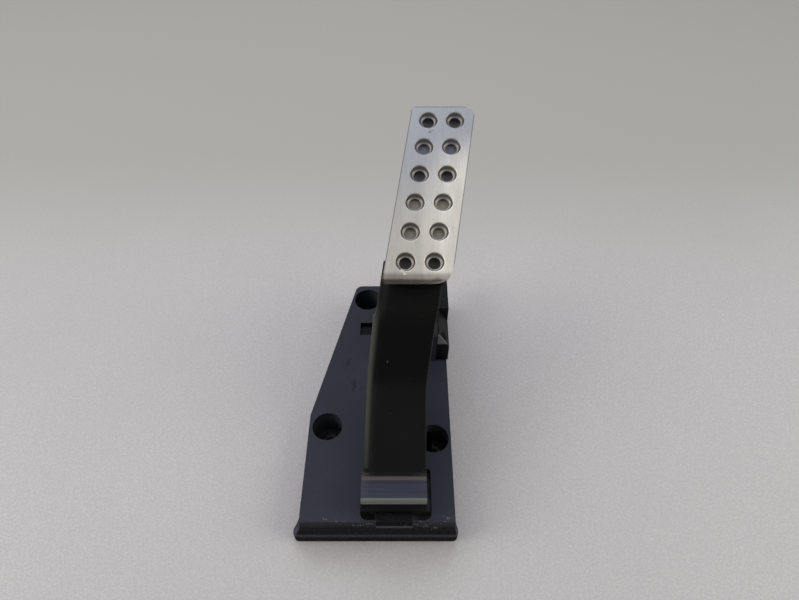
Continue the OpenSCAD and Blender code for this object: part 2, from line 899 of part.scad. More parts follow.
// Cam strip: its face follows the lever's head through the travel
cam_steps = 8;
cam_strip_t = 3;
function head_at(a) = [rotor_y, rotor_z] + turned([head_y - rotor_y, head_z - rotor_z], lever_ratio * a);
function head_in_arm(a) = [hinge_y, hinge_z] + turned(head_at(a) - [hinge_y, hinge_z], a);
function cam_normal(a) = let (t = unit(head_in_arm(a + 0.5) - head_in_arm(a - 0.5))) [t.y, -t.x];
function cam_point(a) = head_in_arm(a) + cam_normal(a) * (shoe_r + cam_gap);
cam_curve = [for (i = [-1:cam_steps]) cam_point(travel_deg * i / cam_steps)];
cam_back_z = head_z + shoe_r + cam_gap + cam_strip_t;
cam_y0 = cam_curve[cam_steps + 1].x - 1.5;
cam_y1 = cam_curve[0].x;

module cam_strip() {
    z1 = cam_back_z - seat_clear;
    color([0.75, 0.75, 0.72]) along_x(lever_x - lever_t / 2 - 0.9, lever_t + 1.8)
        polygon(concat([[cam_y1, z1], [cam_y0, z1], [cam_y0, cam_curve[cam_steps + 1].y]], reversed(cam_curve)));
}

// Tail that carries the cam strip over the lever's head

module cam_tail() {
    along_x(lever_x - lever_t / 2 - 1, lever_t + 2)
        polygon([
            [cam_y0, cam_back_z],
            [cam_y1, cam_back_z],
            [cam_y1 + 1, cam_back_z + 15],
            [cam_y1 - 1, cam_back_z + 22],
            [cam_y0 + 6.5, cam_back_z + 10]
        ]);
}

// Room inside the arm for the lever's head
module lever_room() {
    along_x(lever_x - slot_w / 2, slot_w)
        polygon([
            [cam_y0 - 5, cam_back_z - 30],
            [cam_y0 + 90, cam_back_z - 30],
            [cam_y0 + 90, cam_back_z],
            [cam_y0, cam_back_z],
            [cam_y0 - 5, cam_back_z - 9]
        ]);
}

module hinge_bush(side) {
    x0 = side < 0 ? arm_x - nose_w / 2 + 2.9 : arm_x + ear_in;
    w = ear_w - 2.9;
    color([0.85, 0.84, 0.78]) difference() {
        bar_x(x0, w, hinge_y, hinge_z, bush_r);
        bar_x(x0 - cut, w + 2 * cut, hinge_y, hinge_z, pin_r + pin_clear);
    }
}

module hinge_bush_left() {
    hinge_bush(-1);
}

module hinge_bush_right() {
    hinge_bush(1);
}

// Foot pad, in its own frame: x across, y up the pad, z out of its face

pad_x = 64.6;
pad_y = 45.3;
pad_z = plate_z + 114.5;
pad_top_r = 7.5;
lip_corner_r = 9;

module pad_frame() {
    translate([pad_x, pad_y, pad_z]) rotate([pad_tilt, 0, 0]) children();
}

function pad_corner(side, v, in) = [side * (pad_w / 2 - in) + pad_lean * v, v];

module pad_outline(v0, v1, in, radii) {
    polygon(rounded(
        [pad_corner(-1, v0, in), pad_corner(1, v0, in), pad_corner(1, v1, in), pad_corner(-1, v1, in)],
        radii
    ));
}

function hole_place(row, side) = let (v = first_row + row * row_pitch)
    [side * column_pitch / 2 + pad_lean * v, v];

module each_hole() {
    for (row = [0:hole_rows - 1], side = [-1, 1])
        translate(hole_place(row, side)) children();
}

// Rows, counted from the bend, whose pockets go right through the carrier
open_rows = [0, 3, 5];

module foot_pad() {
    sheet = rounded(
        [
            [0, -lip_len],
            [pad_t, -lip_len],
            [pad_t, -pad_t],
            [pad_len, -pad_t],
            [pad_len, 0],
            [0, 0]
        ],
        [0, 0, bend_r - pad_t, 0, 0.6, bend_r]
    );
    color(satin) pad_frame() {
        difference() {
            union() {
                intersection() {
                    along_x(-pad_w, 3 * pad_w) polygon(sheet);
                    translate([0, 0, -4]) linear_extrude(5)
                        pad_outline(0, pad_len, 0, [0, 0, pad_top_r, 3.5]);
                }
                intersection() {
                    along_x(-pad_w, 3 * pad_w) polygon(sheet);
                    along_y(-cut, 5 + cut) polygon(rounded(
                        [
                            [-pad_w / 2 - 1.2, -lip_len],
                            [pad_w / 2 - 0.6, -lip_len],
                            [pad_w / 2, -2],
                            [pad_w / 2, 0],
                            [-pad_w / 2, 0]
                        ],
                        [0.5, lip_corner_r, 0, 0, 0]
                    ));
                }
            }
            each_hole() translate([0, 0, -4]) cylinder(h = 6, r = dish_r);
        }
        each_hole() dish();
    }
}

// Formed dish: the sheet runs down to the hole's edge
module dish() {
    slope_r = hole_r + 1.2;
    rotate_extrude() polygon([
        [dish_r + 0.4, 0],
        [dish_r, 0],
        [dish_r - 0.45, -0.15],
        [dish_r - 0.8, -0.6],
        [slope_r + 0.3, -dish_d + 0.4],
        [slope_r, -dish_d],
        [hole_r, -dish_d - 0.1],
        [hole_r, -dish_d - pad_t + 0.5],
        [slope_r, -dish_d - pad_t + 0.6],
        [dish_r, -pad_t],
        [dish_r + 0.4, -pad_t]
    ]);
}

stud_rows = [0.5, 2.5, hole_rows - 1.5];

module stud_bars(r, n0) {
    for (row = stud_rows)
        let (v = first_row + row * row_pitch)
            translate([pad_lean * v, v, n0]) cylinder(h = -pad_t - n0, r = r);
}

// Underside of the arm's head in the pad's frame, and the stud's length past it
head_n0 = -pad_t - carrier_t - head_t;
stud_past = 4;
stud_end = head_n0 - stud_past;
nut_t = 2.5;
nut_r = 4.6;

// Room under the head for the nuts and their spanner
module nut_room() {
    for (row = stud_rows)
        let (v = first_row + row * row_pitch)
            translate([pad_lean * v, v, head_n0 - 2 * head_t]) cylinder(h = 2 * head_t, r = nut_r + 0.6);
}

module pad_studs() {
    color(steel) pad_frame() stud_bars(stud_r, stud_end);
}

module pad_nuts() {
    color(steel) pad_frame() for (row = stud_rows)
        let (v = first_row + row * row_pitch)
            translate([pad_lean * v, v, head_n0 - nut_t]) difference() {
                cylinder(h = nut_t - seat_clear, r = nut_r, $fn = 6);
                translate([0, 0, -cut]) cylinder(h = nut_t + 2 * cut, r = stud_r + seat_clear);
            }
}

module pad_carrier() {
    color([0.07, 0.07, 0.07]) pad_frame() difference() {
        translate([0, 0, -pad_t - carrier_t]) linear_extrude(carrier_t)
            pad_outline(bend_r + 0.3, pad_len - 1.5, 1.5, [2, 2, pad_top_r - 1.5, 2.5]);
        for (row = [0:hole_rows - 1], side = [-1, 1])
            translate(hole_place(row, side)) translate([0, 0, len(search(row, open_rows)) > 0
                    ? -pad_t - carrier_t - cut : -dish_d - pad_t - 0.6])
                cylinder(h = dish_d + pad_t + carrier_t + 2 * cut, r = dish_r + 1);
        stud_bars(stud_r + 0.1, head_n0);
    }
}

// Ribbed head of the arm under the pad
module arm_head() {
    n0 = head_n0;
    v0 = pad_t + 0.4;
    v1 = pad_len - 9;
    difference() {
        translate([0, 0, n0]) linear_extrude(head_t) pad_outline(v0, v1, 4.5, [1, 1, 4, 4]);
        difference() {
            translate([0, 0, n0 - cut]) linear_extrude(head_t - 3 + cut)
                pad_outline(v0 + 22, v1 - 2.4, 4.5 + 2.4, [1, 1, 2, 2]);
            union() {
                for (row = stud_rows)
                    let (v = first_row + row * row_pitch) {
                        translate([pad_lean * v, v, n0]) cylinder(h = head_t, r = stud_r + 2.4);
                        translate([-pad_w, v - arm_rib_t / 2, n0]) cube([3 * pad_w, arm_rib_t, head_t]);
                    }
                for (v = [first_row + 1.5 * row_pitch, first_row + 3.5 * row_pitch])
                    translate([-pad_w, v - arm_rib_t / 2, n0]) cube([3 * pad_w, arm_rib_t, head_t]);
                linear_extrude(head_t * 2, center = true) polygon([
                    [-arm_rib_t / 2, 0],
                    [arm_rib_t / 2, 0],
                    [pad_lean * pad_len + arm_rib_t / 2, pad_len],
                    [pad_lean * pad_len - arm_rib_t / 2, pad_len]
                ]);
            }
        }
    }
}

// Rotor and lever

rotor_x0 = house_x + house_wall + 1.2;
rotor_x1 = parting_x - 1.2;
rotor_bush_r = rotor_pin_r + pin_clear + 1.4;
magnet_t = 4;
magnet_r = 10;

// Half widths of the lever's beam at its head and at its hub
beam_head = 2.8;
beam_hub = 6;

module lever_side(in) {
    dir = unit([head_y - rotor_y, head_z - rotor_z]);
    side = [-dir.y, dir.x];
    polygon([
        [rotor_y, rotor_z] + side * (beam_hub - in),
        [head_y, head_z] + side * (beam_head - in),
        [head_y, head_z] - side * (beam_head - in),
        [rotor_y, rotor_z] - side * (beam_hub - in)
    ]);
}

module rotor_lever() {
    color([0.20, 0.20, 0.22]) difference() {
        union() {
            bar_x(rotor_x0, rotor_x1 - rotor_x0, rotor_y, rotor_z, hub_r);
            bar_x(lever_x - lever_t / 2, lever_t, rotor_y, rotor_z, hub_r + 4);
            along_x(lever_x - lever_t / 2, lever_t) lever_side(0);
            bar_x(lever_x - lever_t / 2, lever_t, head_y, head_z, shoe_r - 1.4);
            along_x(lever_x - lever_t / 2, lever_t) polygon([
                [rotor_y, rotor_z + hub_r],
                [rotor_y, rotor_z - hub_r],
                [rest_lug_y - 3, cavity_floor + rest_pad_h + 0.3],
                [rest_lug_y + 3, cavity_floor + rest_pad_h + 0.3],
                [rest_lug_y + 3, rotor_z - 5]
            ]);
            bar_x(rotor_x1 - magnet_t - 1.5, magnet_t + 1.5, rotor_y, rotor_z, magnet_r + 1.5);
        }
        for (s = [-1, 1])
            along_x(lever_x + (s > 0 ? 1.2 : -1.2 - lever_t), lever_t)
                intersection() {
                    lever_side(1.8);
                    translate([head_y + 6, head_z - 40]) square([rotor_y - head_y - hub_r - 12, 60]);
                }
        bar_x(rotor_x0 - cut, rotor_x1 - rotor_x0 + 2 * cut, rotor_y, rotor_z, rotor_bush_r + seat_clear);
        bar_x(rotor_x1 - magnet_t, magnet_t + cut, rotor_y, rotor_z, magnet_r + seat_clear);
    }
}

module rotor_bush(x0) {
    w = 8;
    color([0.85, 0.84, 0.78]) difference() {
        bar_x(x0, w, rotor_y, rotor_z, rotor_bush_r);
        bar_x(x0 - cut, w + 2 * cut, rotor_y, rotor_z, rotor_pin_r + pin_clear);
    }
}

module rotor_bush_left() {
    rotor_bush(rotor_x0);
}

module rotor_bush_right() {
    rotor_bush(rotor_x1 - magnet_t - 8);
}

module magnet_ring() {
    color([0.25, 0.25, 0.27]) difference() {
        bar_x(rotor_x1 - magnet_t + 0.02, magnet_t - 0.02, rotor_y, rotor_z, magnet_r);
        bar_x(rotor_x1 - magnet_t - cut, magnet_t + 2 * cut, rotor_y, rotor_z, rotor_pin_r + 0.6);
    }
}

module rotor_pin() {
    color(steel)
        bar_x(house_x + 0.5, cover_t + parting_x - house_x - 3, rotor_y, rotor_z, rotor_pin_r);
}

module lever_shoe() {
    color([0.85, 0.84, 0.78]) difference() {
        bar_x(lever_x - lever_t / 2 - 1, lever_t + 2, head_y, head_z, shoe_r);
        intersection() {
            bar_x(lever_x - lever_t / 2 - 0.02, lever_t + 0.04, head_y, head_z, shoe_r - 1.4 + seat_clear);
            translate([0, head_y - 40, 0]) cube([200, 80, 200]);
        }
        along_x(lever_x - lever_t / 2 - 0.02, lever_t + 0.04) lever_side(-0.1);
    }
}

// Return springs: wound round the hub, one leg on the lever and one on the housing floor

coil_r = hub_r + 0.5 + wire_r;
coil_pitch = 2 * wire_r + 0.35;
coil_steps = 20;
spring_side_gap = 0.2;
wire_sides = 8;

function coil_point(x0, dir, a) = [
    x0 + dir * coil_pitch * a / 360,
    rotor_y + coil_r * cos(a),
    rotor_z + coil_r * sin(a)
];

module return_spring(x0, dir) {
    turns = [for (i = [0:coil_steps * spring_turns + 5]) coil_point(x0, dir, 360 * i / coil_steps)];
    foot = [for (z = [cavity_floor + wire_r + 0.1]) [x0, rotor_y + coil_r, z]];
    route = concat(foot, turns);
    color([0.45, 0.46, 0.48]) wire(route);
}

// Round wire swept along a route
module wire(route) {
    m = len(route);
    rings = [for (i = [0:m - 1]) let (
        d = unit(route[min(i + 1, m - 1)] - route[max(i - 1, 0)]),
        u = unit(cross(d, [1, 0, 0])),
        v = cross(d, u)
    ) [for (j = [0:wire_sides - 1])
        route[i] + wire_r * (u * cos(360 * j / wire_sides) + v * sin(360 * j / wire_sides))]];
    loft(rings);
}

module return_spring_left() {
    return_spring(rotor_x0 + wire_r + spring_side_gap, 1);
}

module return_spring_right() {
    return_spring(lever_x + lever_t / 2 + wire_r + 0.7 + spring_turns * coil_pitch, -1);
}

base_plate();
sensor_housing();
mount_sleeves();
hinge_pin();
pin_rings();
side_cover();
cover_seal();
cover_screws();
rotor_pin();
sensor_board();
sensor_chips();
connector_pins();
floor_stop();
rest_stop();
return_spring_left();
return_spring_right();
pedal_arm();
hinge_bush_left();
hinge_bush_right();
cam_strip();
foot_pad();
pad_studs();
pad_nuts();
pad_carrier();
rotor_lever();
lever_shoe();
rotor_bush_left();
rotor_bush_right();
magnet_ring();
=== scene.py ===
import math

import bmesh
import bpy
from mathutils import Matrix, Vector


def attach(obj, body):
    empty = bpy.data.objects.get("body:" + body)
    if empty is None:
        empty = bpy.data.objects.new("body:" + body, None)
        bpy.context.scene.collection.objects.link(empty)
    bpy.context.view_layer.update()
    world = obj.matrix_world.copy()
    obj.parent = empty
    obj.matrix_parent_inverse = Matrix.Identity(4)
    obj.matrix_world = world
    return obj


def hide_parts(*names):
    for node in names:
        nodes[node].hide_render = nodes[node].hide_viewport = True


# Accelerator pedal with a drilled metal foot pad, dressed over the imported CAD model.
# Metres throughout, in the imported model's frame: x to the driver's right, y away from
# the driver, z up from the mounting face.

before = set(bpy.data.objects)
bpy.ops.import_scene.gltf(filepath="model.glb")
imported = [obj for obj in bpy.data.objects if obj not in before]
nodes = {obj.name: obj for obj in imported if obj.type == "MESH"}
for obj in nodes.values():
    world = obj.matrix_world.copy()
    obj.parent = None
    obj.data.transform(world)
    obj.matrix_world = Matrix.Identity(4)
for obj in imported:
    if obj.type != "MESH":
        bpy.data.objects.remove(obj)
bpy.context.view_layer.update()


# Camera
# The photograph was taken from above the pedal's front end, looking 51 degrees down
# along the arm, with a phone's wide lens.

lens_width = 36.0
lens_pixels = 603.0
frame_width = 799
camera_place = (0.0531, -0.2073, 0.4341)
camera_tilt = math.radians(39.0)

view = bpy.data.cameras.new("photo_camera")
view.sensor_fit = "HORIZONTAL"
view.sensor_width = lens_width
view.lens = lens_pixels * lens_width / frame_width
view.clip_start = 0.01
view.dof.use_dof = False
camera = bpy.data.objects.new("photo_camera", view)
camera.location = camera_place
camera.rotation_euler = (camera_tilt, 0.0, 0.0)
bpy.context.scene.collection.objects.link(camera)
bpy.context.scene.camera = camera
bpy.context.scene.view_settings.view_transform = "Standard"


# Floor and lamps
# A plain pale floor under the mounting face, a broad soft lamp over the far end and one
# to each side, in an even, dim surround.


class Signal:
    """A socket's value that arithmetic can be written with; each operator adds its Math node."""

    def __init__(self, finish, socket):
        self.finish = finish
        self.socket = socket

    def maths(self, operation, other, turned=False):
        pair = (other, self) if turned else (self, other)
        return self.finish.add("ShaderNodeMath", {"operation": operation}, {0: pair[0], 1: pair[1]})

    def __add__(self, other):
        return self.maths("ADD", other)

    def __radd__(self, other):
        return self.maths("ADD", other, turned=True)

    def __sub__(self, other):
        return self.maths("SUBTRACT", other)

    def __rsub__(self, other):
        return self.maths("SUBTRACT", other, turned=True)

    def __mul__(self, other):
        return self.maths("MULTIPLY", other)

    def __rmul__(self, other):
        return self.maths("MULTIPLY", other, turned=True)


class Finish:
    """One material: a Principled shader and the pattern nodes that feed it."""

    def __init__(self, name):
        self.material = bpy.data.materials.new(name)
        self.material.use_nodes = True
        self.tree = self.material.node_tree
        self.shader = self.tree.nodes["Principled BSDF"]
        self.place = Signal(self, self.tree.nodes.new("ShaderNodeTexCoord").outputs["Object"])

    def join(self, socket, value):
        if isinstance(value, Signal):
            self.tree.links.new(value.socket, socket)
        elif value is not None:
            socket.default_value = value

    def add(self, kind, settings=None, sockets=None, out=0):
        node = self.tree.nodes.new(kind)
        for key, value in (settings or {}).items():
            setattr(node, key, value)
        for key, value in (sockets or {}).items():
            self.join(node.inputs[key], value)
        return Signal(self, node.outputs[out])

    def stretched(self, scale, turn=(0.0, 0.0, 0.0)):
        return self.add(
            "ShaderNodeMapping", None, {"Vector": self.place, "Scale": scale, "Rotation": turn}
        )

    def noise(self, scale, detail=3.0, rough=0.55, place=None):
        return self.add(
            "ShaderNodeTexNoise", None,
            {"Vector": place or self.place, "Scale": scale, "Detail": detail, "Roughness": rough},
        )

    def mixed(self, share, first, second):
        return self.add(
            "ShaderNodeMix", {"data_type": "RGBA"}, {0: share, 6: first, 7: second}, out=2
        )

    def between(self, signal, low, high):
        """0 below low, 1 above high, smooth between them."""
        return self.add(
            "ShaderNodeMapRange", {"interpolation_type": "SMOOTHSTEP"},
            {"Value": signal, "From Min": low, "From Max": high},
        )

    def bumped(self, height, distance, strength):
        return self.add(
            "ShaderNodeBump", None, {"Height": height, "Distance": distance, "Strength": strength}
        )

    def within(self, signal, low, high, soft):
        """1 between two values, 0 beyond them, with a soft step at each."""
        return self.between(signal, low - soft, low) * self.between(signal, high + soft, high)

    def near(self, place, point, inner, outer):
        """1 within the inner distance of a point, 0 beyond the outer one."""
        distance = self.add(
            "ShaderNodeVectorMath", {"operation": "DISTANCE"}, {0: place, 1: point}, out=1
        )
        return self.between(distance, outer, inner)

    def parts(self, signal):
        """The x, y and z of a vector signal."""
        node = self.tree.nodes.new("ShaderNodeSeparateXYZ")
        self.join(node.inputs[0], signal)
        return [Signal(self, socket) for socket in node.outputs]

    def surface(self, **values):
        for key, value in values.items():
            self.join(self.shader.inputs[key.replace("_", " ")], value)
        return self.material


def rgba(red, green, blue):
    """Linear colour from sRGB levels of 0 to 255."""
    def level(v):
        v = v / 255
        return v / 12.92 if v <= 0.04045 else ((v + 0.055) / 1.055) ** 2.4
    return (level(red), level(green), level(blue), 1.0)


def new_piece(name, mesh):
    piece = bpy.data.objects.new(name, mesh)
    bpy.context.scene.collection.objects.link(piece)
    return piece


floor_finish = Finish("pale_floor")
speckle = floor_finish.noise(700.0, 2.0)
patches = floor_finish.noise(3.0, 2.0)
floor_colour = floor_finish.mixed(
    floor_finish.between(speckle, 0.35, 0.75), rgba(186, 182, 182), rgba(201, 197, 196)
)
floor_colour = floor_finish.mixed(
    floor_finish.between(patches, 0.3, 0.7) * 0.35, floor_colour, rgba(180, 176, 175)
)
# Painted shade: the floor is painted darker towards the far end, where less lamp light reaches it
floor_y = floor_finish.parts(floor_finish.place)[1]
floor_colour = floor_finish.mixed(
    floor_finish.between(floor_y, 0.13, 0.38), floor_colour, rgba(171, 168, 162)
)
floor_finish.surface(Base_Color=floor_colour, Roughness=0.6)

floor_size = 3.0
floor_centre = 0.05
floor_drop = 0.0003
floor_corners = ((-1, -1), (1, -1), (1, 1), (-1, 1))
mesh = bpy.data.meshes.new("floor")
mesh.from_pydata(
    [(x * floor_size + floor_centre, y * floor_size, -floor_drop) for x, y in floor_corners],
    [], [(0, 1, 2, 3)],
)
floor = new_piece("floor", mesh)
mesh.materials.append(floor_finish.material)

world = bpy.data.worlds.new("surround")
world.use_nodes = True
world.node_tree.nodes["Background"].inputs["Color"].default_value = rgba(226, 228, 232)
world.node_tree.nodes["Background"].inputs["Strength"].default_value = 0.4
bpy.context.scene.world = world


lamp_aim = Vector((0.04, 0.05, 0.05))


def soft_lamp(name, place, size, power, colour):
    light = bpy.data.lights.new(name, "AREA")
    light.shape = "RECTANGLE"
    light.size, light.size_y = size
    light.energy = power
    light.color = colour
    lamp = bpy.data.objects.new(name, light)
    lamp.location = place
    lamp.rotation_euler = (lamp_aim - Vector(place)).to_track_quat("-Z", "Y").to_euler()
    bpy.context.scene.collection.objects.link(lamp)


soft_lamp("far_window", (-0.15, 0.95, 1.5), (1.5, 0.8), 9.8, (0.86, 0.92, 1.0))
soft_lamp("left_side", (-1.35, -0.1, 1.1), (0.9, 1.3), 13.5, (1.0, 0.975, 0.945))
soft_lamp("right_side", (1.35, -0.1, 1.1), (0.9, 1.3), 11.5, (1.0, 0.975, 0.95))


# Base moulding
# The fixed base: one glass filled nylon moulding, with three mounting wells, the hinge
# pocket and a flared front skirt. Its finish is finely grained and dusty.


def dressed(name, body, *sources, edge, corner=35.0, slot):
    """One piece made from CAD nodes: their meshes merged, flat faces joined and edges rounded."""
    merged = bmesh.new()
    for source in sources:
        merged.from_mesh(nodes[source].data)
    bmesh.ops.remove_doubles(merged, verts=merged.verts, dist=2e-6)
    bmesh.ops.dissolve_limit(
        merged, angle_limit=math.radians(0.6), verts=merged.verts, edges=merged.edges
    )
    mesh = bpy.data.meshes.new(name)
    merged.to_mesh(mesh)
    merged.free()
    piece = new_piece(name, mesh)
    mesh.shade_smooth()
    mesh.set_sharp_from_angle(angle=math.radians(corner))
    if edge:
        rounding = piece.modifiers.new("rounded edges", "BEVEL")
        rounding.width = edge
        rounding.segments = 2
        rounding.limit_method = "ANGLE"
        rounding.angle_limit = math.radians(corner)
        rounding.use_clamp_overlap = True
        rounding.miter_outer = "MITER_ARC"
    settled = piece.modifiers.new("flat faces keep their normals", "WEIGHTED_NORMAL")
    settled.keep_sharp = True
    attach(piece, body)
    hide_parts(*sources)
    return piece


def finish_with(piece, material):
    piece.data.materials.clear()
    piece.data.materials.append(material)


plate_top = 0.03
well_centres = ((0.0, 0.0, 0.0), (0.0778, -0.0095, 0.0), (0.0258, 0.1203, 0.0))
pale_dust = rgba(120, 116, 108)

grained = Finish("grained_nylon")
grain = grained.noise(2600.0, 3.0, 0.6)
mottle = grained.noise(38.0, 4.0, 0.62)
x, y, z = grained.parts(grained.place)
# Dust lies thicker along the front fold and round the hinge
near_fold = grained.between(y, -0.046, -0.071)
specks = grained.between(grained.noise(1100.0, 2.0, 0.7) + 0.05 * near_fold, 0.66, 0.76)
# Scuffs in two short patches on the left of the plate
scuff_grain = grained.stretched((1.0, 0.35, 1.0), (0.0, 0.0, -0.9))
scuff_field = grained.noise(240.0, 3.0, 0.75, scuff_grain)
scuff_place = grained.near(grained.place, (0.0154, 0.0544, plate_top), 0.003, 0.0095)
scuff_place = scuff_place + grained.near(grained.place, (0.0187, 0.0343, plate_top), 0.003, 0.0085)
scuffs = grained.between(scuff_field, 0.5, 0.58) * scuff_place
black = grained.mixed(mottle, rgba(41, 41, 51), rgba(53, 53, 66))
black = grained.mixed(scuffs * 0.6, black, rgba(16, 16, 18))
# The front rim: painted shade blackens its foot, a painted highlight line runs above it, and another
# along the tongue's front edge
front = grained.between(y, -0.064, -0.069)
rim_foot_shade = grained.between(z, 0.0084, 0.0076)
rim_highlight = grained.within(z, 0.0086, 0.0098, 0.0008)
tongue_shade = grained.between(y, -0.061, -0.063) * grained.within(x, 0.0376, 0.0614, 0.0003)
tongue_shade = tongue_shade * grained.between(z, 0.027, 0.028)
tongue_edge_highlight = grained.between(y, -0.0723, -0.0727) * grained.between(z, 0.0275, 0.0285)
# Painted shade: the tongue's top, in front of and under the arm's nose, is painted near black
black = grained.mixed(tongue_shade * 0.8, black, rgba(8, 8, 9))
# Painted shade: the skirt's face, sloping down away from the light, is painted near black
skirt_shade = grained.between(y, -0.0698, -0.0704)
black = grained.mixed(skirt_shade * 0.85, black, rgba(3, 3, 3))
black = grained.mixed(rim_foot_shade * front, black, rgba(1, 1, 1))
black = grained.mixed((rim_highlight * 0.3 + tongue_edge_highlight * 0.36) * front, black, rgba(104, 106, 110))
# Painted shade blackens the floor of the blank recess; painted light greys that of the hinge pocket
recess_shade = grained.between(z, 0.0296, 0.0288) * grained.within(y, 0.083, 0.0956, 0.001)
recess_shade = recess_shade * grained.within(x, 0.0206, 0.0338, 0.001)
black = grained.mixed(recess_shade, black, rgba(3, 2, 3))
# Painted light: deep in the wells and in the front slots the nylon is painted a paler grey that
# lifts their shade
flat_place = grained.add(
    "ShaderNodeVectorMath", {"operation": "MULTIPLY"}, {0: grained.place, 1: (1.0, 1.0, 0.0)}
)
wells_light = 0.0
for well in well_centres:
    wells_light = grained.near(flat_place, well, 0.0117, 0.0123) + wells_light
slots_light = grained.near(grained.place, (0.05, -0.0648, 0.023), 0.0255, 0.028)
slots_light = slots_light * grained.between(y, -0.0689, -0.0685)
deep = grained.between(z, 0.0288, 0.025)
black = grained.mixed(wells_light * deep * 0.8, black, rgba(66, 68, 70))
black = grained.mixed(slots_light * deep, black, rgba(104, 102, 98))
# Painted light: the hinge pocket's floor is painted a pale bluish grey that lifts its shade
pocket_light = grained.within(z, 0.0248, 0.0252, 0.0004) * grained.between(x, 0.058, 0.064)
pocket_light = pocket_light * grained.between(x, 0.0755, 0.0749)
black = grained.mixed(pocket_light * 0.8, black, rgba(70, 72, 80))
grained.surface(
    Base_Color=grained.mixed(specks * (0.2 + 0.3 * near_fold), black, pale_dust),
    Roughness=0.5 + 0.14 * mottle - 0.08 * scuffs + 0.2 * skirt_shade,
    Specular_IOR_Level=0.16,
    Normal=grained.bumped(grain, 0.00008, 0.5),
)
base = dressed("base_moulding", "base", "base_plate", edge=0.0006, slot="base_plastic")
finish_with(base, grained.material)


# Sensor housing
# A second moulding of the same nylon, staked to the plate, with a slot in its roof for
# the lever. It has the plate's grain and dust.

housing = dressed("sensor_housing_shell", "base", "sensor_housing", edge=0.0006, slot="base_plastic")
finish_with(housing, grained.material)


# Grit on the front fold
# Crumbs of dirt caught along the fold and in the pocket's corners, scattered by one
# recipe over narrow strips on the fold and on the skirt's face.


class Recipe:
    """A geometry nodes group with named inputs, run once and kept as a plain mesh."""

    def __init__(self, name, **inputs):
        self.tree = bpy.data.node_groups.new(name, "GeometryNodeTree")
        sockets = self.tree.interface
        sockets.new_socket(name="Geometry", in_out="INPUT", socket_type="NodeSocketGeometry")
        sockets.new_socket(name="Geometry", in_out="OUTPUT", socket_type="NodeSocketGeometry")
        self.values = {}
        for key, value in inputs.items():
            kinds = {int: "NodeSocketInt", float: "NodeSocketFloat"}
            kind = kinds.get(type(value), "NodeSocketMaterial")
            socket = sockets.new_socket(name=key, in_out="INPUT", socket_type=kind)
            self.values[socket.identifier] = value
        self.start = self.tree.nodes.new("NodeGroupInput")
        self.end = self.tree.nodes.new("NodeGroupOutput")

    def given(self, name):
        return Signal(self, self.start.outputs[name])

    def add(self, kind, settings=None, sockets=None, out=0):
        node = self.tree.nodes.new(kind)
        for key, value in (settings or {}).items():
            setattr(node, key, value)
        for key, value in (sockets or {}).items():
            for each in value if isinstance(value, list) else [value]:
                if isinstance(each, Signal):
                    self.tree.links.new(each.socket, node.inputs[key])
                else:
                    node.inputs[key].default_value = each
        return Signal(self, node.outputs[out])

    def vector(self, x, y, z):
        return self.add("ShaderNodeCombineXYZ", None, {0: x, 1: y, 2: z})

    def copies(self, points, model, **more):
        """The model placed on each point, made real and given the recipe's material."""
        placed = self.add(
            "GeometryNodeInstanceOnPoints", None,
            {"Points": points, "Instance": model, **more},
        )
        real = self.add("GeometryNodeRealizeInstances", None, {"Geometry": placed})
        return self.add(
            "GeometryNodeSetMaterial", None, {"Geometry": real, "Material": self.given("Material")}
        )

    def made(self, mesh, result):
        self.tree.links.new(result.socket, self.end.inputs["Geometry"])
        carrier_piece = new_piece("recipe input", mesh)
        modifier = carrier_piece.modifiers.new("recipe", "NODES")
        modifier.node_group = self.tree
        for identifier, value in self.values.items():
            modifier[identifier] = value
        graph = bpy.context.evaluated_depsgraph_get()
        plain = bpy.data.meshes.new_from_object(carrier_piece.evaluated_get(graph))
        bpy.data.objects.remove(carrier_piece)
        bpy.data.node_groups.remove(self.tree)
        return plain


dirt = Finish("grit")
dirt_shade = dirt.noise(900.0, 2.0)
dirt_colour = dirt.mixed(
    dirt.between(dirt_shade, 0.35, 0.65), rgba(62, 57, 50), rgba(158, 153, 142)
)
dirt.surface(
    Base_Color=dirt_colour,
    Roughness=0.8 + 0.1 * dirt_shade,
)

# Along the fold, from its front line to a depth that differs from strip to strip
fold_front = -0.0698
fold_strips = ((0.002, 0.0252, -0.0668), (0.0262, 0.0385, -0.0688),
               (0.062, 0.0745, -0.0688), (0.0755, 0.089, -0.0655))
# On the skirt's face, either side of the tongue
skirt_strips = ((0.021, 0.0385), (0.0615, 0.081))
skirt_foot = (-0.0705, 0.0175)
skirt_head = (-0.0702, 0.0285)

strips = bmesh.new()
for left, right, rear in fold_strips:
    strips.faces.new([strips.verts.new((*p, plate_top)) for p in (
        (left, fold_front), (right, fold_front), (right, rear), (left, rear))])
for left, right in skirt_strips:
    strips.faces.new([strips.verts.new(p) for p in (
        (left, *skirt_foot), (right, *skirt_foot), (right, *skirt_head), (left, *skirt_head))])
strip_mesh = bpy.data.meshes.new("grit_strips")
strips.to_mesh(strip_mesh)
strips.free()

